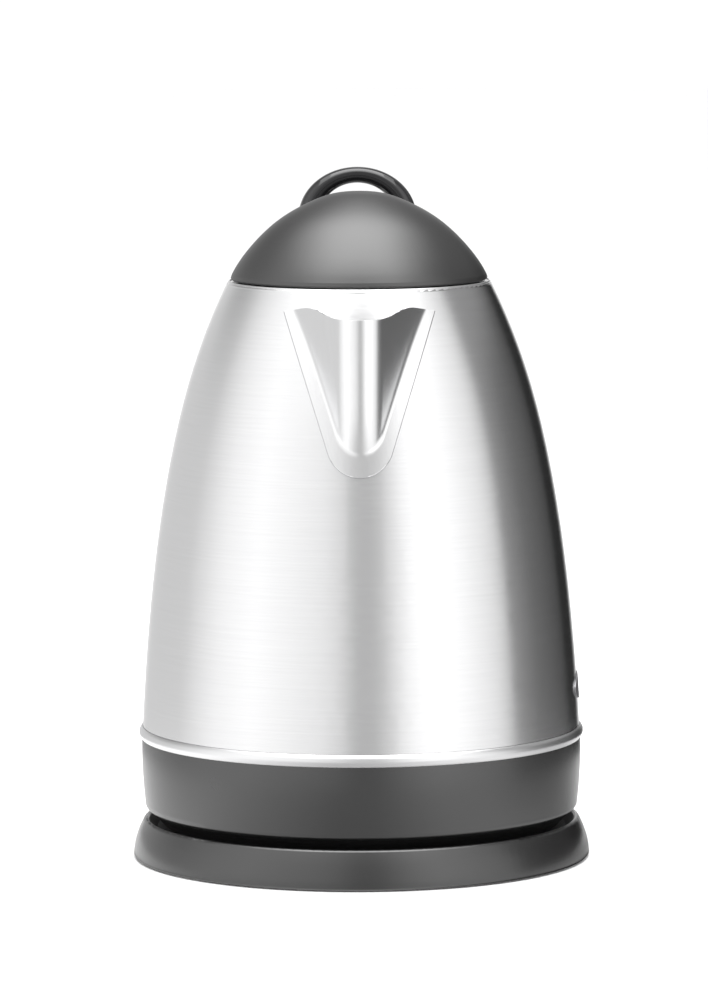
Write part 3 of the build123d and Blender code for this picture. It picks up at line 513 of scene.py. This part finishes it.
# The lid's outline as (height, distance from the axis).
LID_SKIN = ((211.5, 45.85), (221.4, 39.03), (232.0, 27.46), (238.9, 14.14), (241.2, 0.0))
LOOP_OUTER = (21.6, 18.5)  # half width and height of the arch's outside
LOOP_INNER = (13.7, 12.6)  # and of its inside
LOOP_X = -0.5
LOOP_Y = 33.0
LOOP_CENTRE_Z = 229.6
LOOP_DEPTH = 10.0
LOOP_LEAN = math.radians(8.0)
LOOP_PIVOT_Z = 225.0
LOOP_SUNK = 1.2
LOOP_STEPS = 72
SECTION_STEPS = 40
SECTION_POWER = 0.88  # below 1 squares an ellipse up a little
SINK_ROUNDS = 4  # enough for a foot to settle on the curved skin


def squared(value):
    """A sine or cosine pushed outwards, for a section between an ellipse and a rectangle."""
    return math.copysign(abs(value) ** SECTION_POWER, value)


def leaned(x, y, z):
    """A point of the upright loop, tilted back with it."""
    up = z - LOOP_PIVOT_Z
    back = LOOP_Y + y * math.cos(LOOP_LEAN) + up * math.sin(LOOP_LEAN)
    return Vector((x, back, LOOP_PIVOT_Z + up * math.cos(LOOP_LEAN) - y * math.sin(LOOP_LEAN)))


def loop_ring(along):
    """The loop's rounded section at an angle along the arch, counted from its left foot."""
    middle_x, middle_z = ((o + i) / 2 for o, i in zip(LOOP_OUTER, LOOP_INNER))
    half_x, half_z = ((o - i) / 2 for o, i in zip(LOOP_OUTER, LOOP_INNER))
    ring = []
    for step in range(SECTION_STEPS):
        around = 2 * math.pi * step / SECTION_STEPS
        out = squared(math.cos(around))
        x = LOOP_X - math.cos(along) * (middle_x + half_x * out)
        z = LOOP_CENTRE_Z + math.sin(along) * (middle_z + half_z * out)
        ring.append((x, squared(math.sin(around)) * LOOP_DEPTH / 2, z))
    return ring


def sunk(ring):
    """The same section carried down a leg until it is inside the lid's skin."""
    low = []
    for x, y, z in ring:
        point = leaned(x, y, z)
        for _ in range(SINK_ROUNDS):
            skin = through(LID_SKIN, math.hypot(point.x, point.y)) - LOOP_SUNK
            z += (skin - point.z) / math.cos(LOOP_LEAN)
            point = leaned(x, y, z)
        low.append((x, y, z))
    return low


def make_loop():
    """The glossy finger loop: an arch of rounded section whose feet end just under the lid's skin."""
    mesh = bmesh.new()
    arch = [loop_ring(math.pi * step / LOOP_STEPS) for step in range(LOOP_STEPS + 1)]
    rings = [sunk(arch[0]), *arch, sunk(arch[-1])]
    made = [[mesh.verts.new(leaned(*place) * MM) for place in ring] for ring in rings]
    bridge(mesh, made, closed=True)
    mesh.faces.new(made[0])
    mesh.faces.new(list(reversed(made[-1])))
    loop = piece(mesh, "finger_loop", MATERIALS["gloss_black"], "lid")
    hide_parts("lid_loop")


# ---- studio -------------------------------------------------------------------------------------

# Brightness of the tent wall, by compass direction from the kettle in degrees: 0 is towards the
# camera, negative to its left and positive to its right.
TENT_TONES = (
    (-180, 1.10), (-158, 0.68), (-110, 0.72), (-82, 1.10), (-60, 1.25), (-20, 0.98), (-10, 0.83),
    (-3, 0.52), (8, 0.52), (18, 0.88), (27, 1.20), (40, 1.38), (57, 1.20), (78, 0.92), (85, 0.68),
    (89, 0.32), (97, 0.24), (108, 0.16), (125, 0.11), (138, 0.07), (143, 0.02), (161, 0.02),
    (167, 0.90), (175, 1.10),
)
# The same for the bright table close round the kettle, which only its lower parts mirror: bright at
# the left, dim in front, bright to the front right, dim at the right and bright behind.
TABLE_TONES = (
    (-180, 1.50), (-140, 1.50), (-110, 1.30), (-70, 1.30), (-10, 0.55), (5, 0.55), (35, 1.00), (55, 1.00),
    (90, 0.60), (110, 0.60), (140, 1.20),
)
TABLE_RADII = (0.086, 0.27)
TABLE_LIFT = 0.0005
ROUND_SIDES = 128
RAMP_TOP = 2.0  # the tone that a ramp's white stands for
TENT_RADIUS = 3.2
TENT_HALF_HEIGHT = 8.0
TENT_BEHIND = (0.6, 2.4)  # Y at which the wall starts to be behind the kettle, and at which it fully is
TENT_ABOVE = (0.7, 1.5)  # Z at which it starts to be high up, and at which it fully is
HIGH_LEAST = 0.32  # the least brightness high up, so that the dome's far side does not go black
BACK_DIM = 0.45  # what is left of the brightness high up behind the kettle
FLOOR_SIZE = 12.0
FLOOR_PAINT = (0.95, 0.95, 0.95)
WORLD_STRENGTH = 1.05


def emitter(name, tone_of):
    """An emission material whose strength comes from a function of the shader."""
    shade = Shader(name)
    glow = shade.node("Emission")
    shade.link(tone_of(shade), glow.inputs["Strength"])
    shade.link(glow.outputs[0], shade.output.inputs["Surface"])
    return shade.material


def by_direction(shade, tones):
    """Brightness by compass direction, read from a colour ramp."""
    axes = shade.axes()
    turn = shade.math("ARCTAN2", axes["X"], shade.math("MULTIPLY", axes["Y"], -1.0))
    ramp = shade.node("ValToRGB")
    shade.link(shade.span(turn, 0.0, 1.0, -math.pi, math.pi), ramp.inputs[0])
    stops = ramp.color_ramp.elements
    stops.remove(stops[-1])
    for index, (angle, tone) in enumerate(tones):
        place = (angle + 180) / 360
        level = tone / RAMP_TOP
        stop = stops[0] if index == 0 else stops.new(place)
        stop.position = place
        stop.color = (level, level, level, 1.0)
    return shade.math("MULTIPLY", ramp.outputs[0], RAMP_TOP)


def tent_tone(shade):
    """The wall's brightness: by direction, dimmer high up behind, never black high up."""
    axes = shade.axes()
    behind = shade.span(axes["Y"], 0.0, 1.0, *TENT_BEHIND)
    high = shade.span(axes["Z"], 0.0, 1.0, *TENT_ABOVE)
    dimmed = shade.span(shade.math("MULTIPLY", behind, high), 1.0, BACK_DIM)
    tone = shade.math("MULTIPLY", by_direction(shade, TENT_TONES), dimmed)
    return shade.math("MAXIMUM", tone, shade.math("MULTIPLY", high, HIGH_LEAST))


def table_tone(shade):
    """The table's brightness by direction."""
    return by_direction(shade, TABLE_TONES)


def only_mirrored(obj):
    """Leaves an object to be seen in mirror images and through clear pieces, and nowhere else."""
    obj.visible_camera = False
    obj.visible_diffuse = False
    obj.visible_shadow = False


def make_tent():
    """A round wall of soft light about the kettle."""
    bpy.ops.mesh.primitive_cylinder_add(
        vertices=ROUND_SIDES, radius=TENT_RADIUS, depth=2 * TENT_HALF_HEIGHT, end_fill_type="NOTHING"
    )
    tent = bpy.context.object
    tent.name = "tent"
    tent.data.materials.append(emitter("tent_light", tent_tone))
    only_mirrored(tent)


def make_floor():
    """A wide pale floor, which the kettle doesn't mirror."""
    bpy.ops.mesh.primitive_plane_add(size=FLOOR_SIZE)
    floor = bpy.context.object
    floor.name = "floor"
    shade = Shader("floor_paint")
    shade.put(Base_Color=FLOOR_PAINT, Roughness=0.9, Specular_IOR_Level=0.1)
    floor.data.materials.append(shade.material)
    floor.visible_glossy = False


def make_table_glow():
    """A bright ring on the floor, close round the base."""
    mesh = bmesh.new()
    circles = [bmesh.ops.create_circle(mesh, segments=ROUND_SIDES, radius=r)["verts"] for r in TABLE_RADII]
    bridge(mesh, circles, closed=True)
    data = bpy.data.meshes.new("table_glow")
    mesh.to_mesh(data)
    mesh.free()
    data.transform(Matrix.Translation((0, 0, TABLE_LIFT)))
    data.materials.append(emitter("table_light", table_tone))
    ring = bpy.data.objects.new("table_glow", data)
    bpy.context.scene.collection.objects.link(ring)
    only_mirrored(ring)


def soft_light(name, place, size, power):
    """A rectangular soft light that faces straight down."""
    data = bpy.data.lights.new(name, "AREA")
    data.shape = "RECTANGLE"
    data.size, data.size_y = size
    data.energy = power
    light = bpy.data.objects.new(name, data)
    bpy.context.scene.collection.objects.link(light)
    light.location = place
    light.visible_camera = False


def make_studio():
    """White surroundings, the tent, the floor, the table's glow and two soft lights overhead."""
    world = bpy.data.worlds.new("studio_white")
    world.use_nodes = True
    background = world.node_tree.nodes["Background"]
    background.inputs["Color"].default_value = (1, 1, 1, 1)
    background.inputs["Strength"].default_value = WORLD_STRENGTH
    bpy.context.scene.world = world
    bpy.context.scene.view_settings.view_transform = "Standard"
    make_tent()
    make_floor()
    make_table_glow()
    soft_light("wide_light", place=(0.0, -0.3, 2.0), size=(2.6, 2.7), power=33.0)
    soft_light("top_light", place=(0.0, 0.0, 1.9), size=(1.5, 1.5), power=15.0)


make_camera()
dress_nodes()
make_spout()
make_seam_shade()
make_bead()
make_loop()
make_studio()
